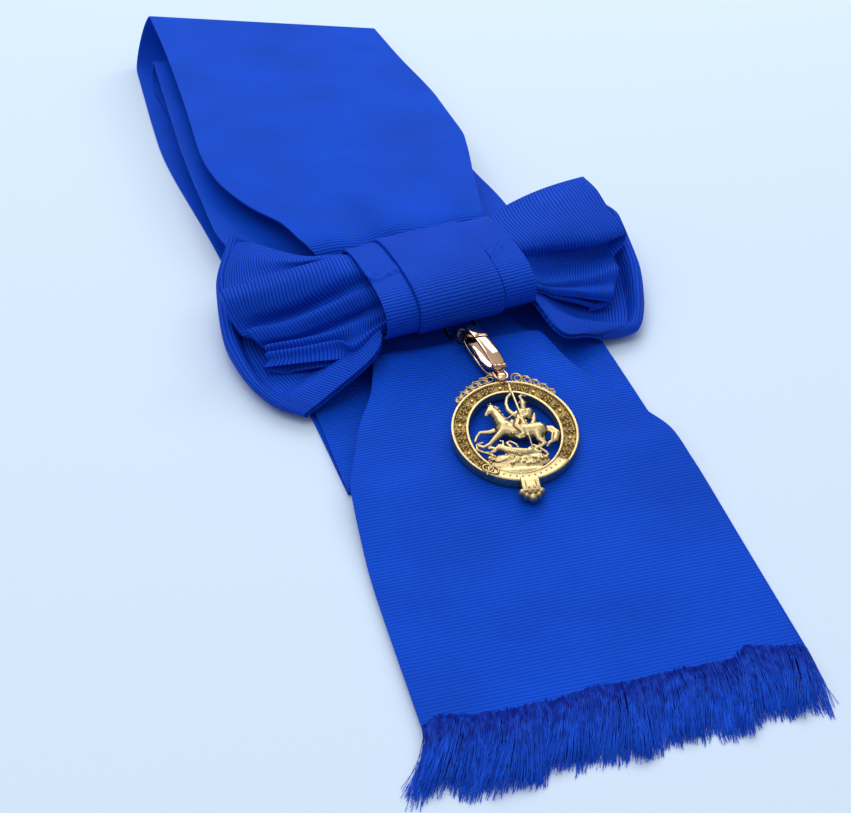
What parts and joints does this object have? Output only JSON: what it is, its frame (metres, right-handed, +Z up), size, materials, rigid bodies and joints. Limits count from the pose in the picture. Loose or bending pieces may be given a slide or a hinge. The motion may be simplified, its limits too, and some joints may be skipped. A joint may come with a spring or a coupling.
{
  "type": "sash of an order with bow and badge",
  "caption": "Broad riband sash folded flat, tied with a double bow and band, fringed tails, and a pierced oval cast badge hanging from a hinged clip bail.",
  "frame": {"origin": "middle of the footprint, on the surface that the sash lies on", "axes": "+Y along the sash from the fringe to the far fold, +X to the right as the badge is read, +Z up"},
  "size_m": [0.1534, 0.402, 0.0301],
  "materials": {
    "corded_silk": "corded, slight sheen",
    "dark_metal": "dark polished",
    "rose_gold": "polished",
    "cast_gold": "satin cast"
  },
  "bodies": {
    "sash": {"sash_loop": "corded_silk", "front_tail": "corded_silk", "rear_tail": "corded_silk", "front_fringe": "corded_silk", "rear_fringe": "corded_silk", "bow_left_outer": "corded_silk", "bow_left_inner": "corded_silk", "bow_right_outer": "corded_silk", "bow_right_inner": "corded_silk", "knot_band": "corded_silk", "hanger_eye": "dark_metal", "bail_body": "rose_gold", "badge_link": "rose_gold", "badge": "cast_gold"},
    "leaf": {"bail_leaf": "rose_gold"}
  },
  "joints": [
    {"name": "leaf_hinge", "type": "hinge", "parent": "sash", "child": "leaf", "pos_m": [0.0106, -0.06282, 0.01382], "axis": [0.9356, 0.2485, -0.2507], "range_deg": [0, 50]}
  ]
}
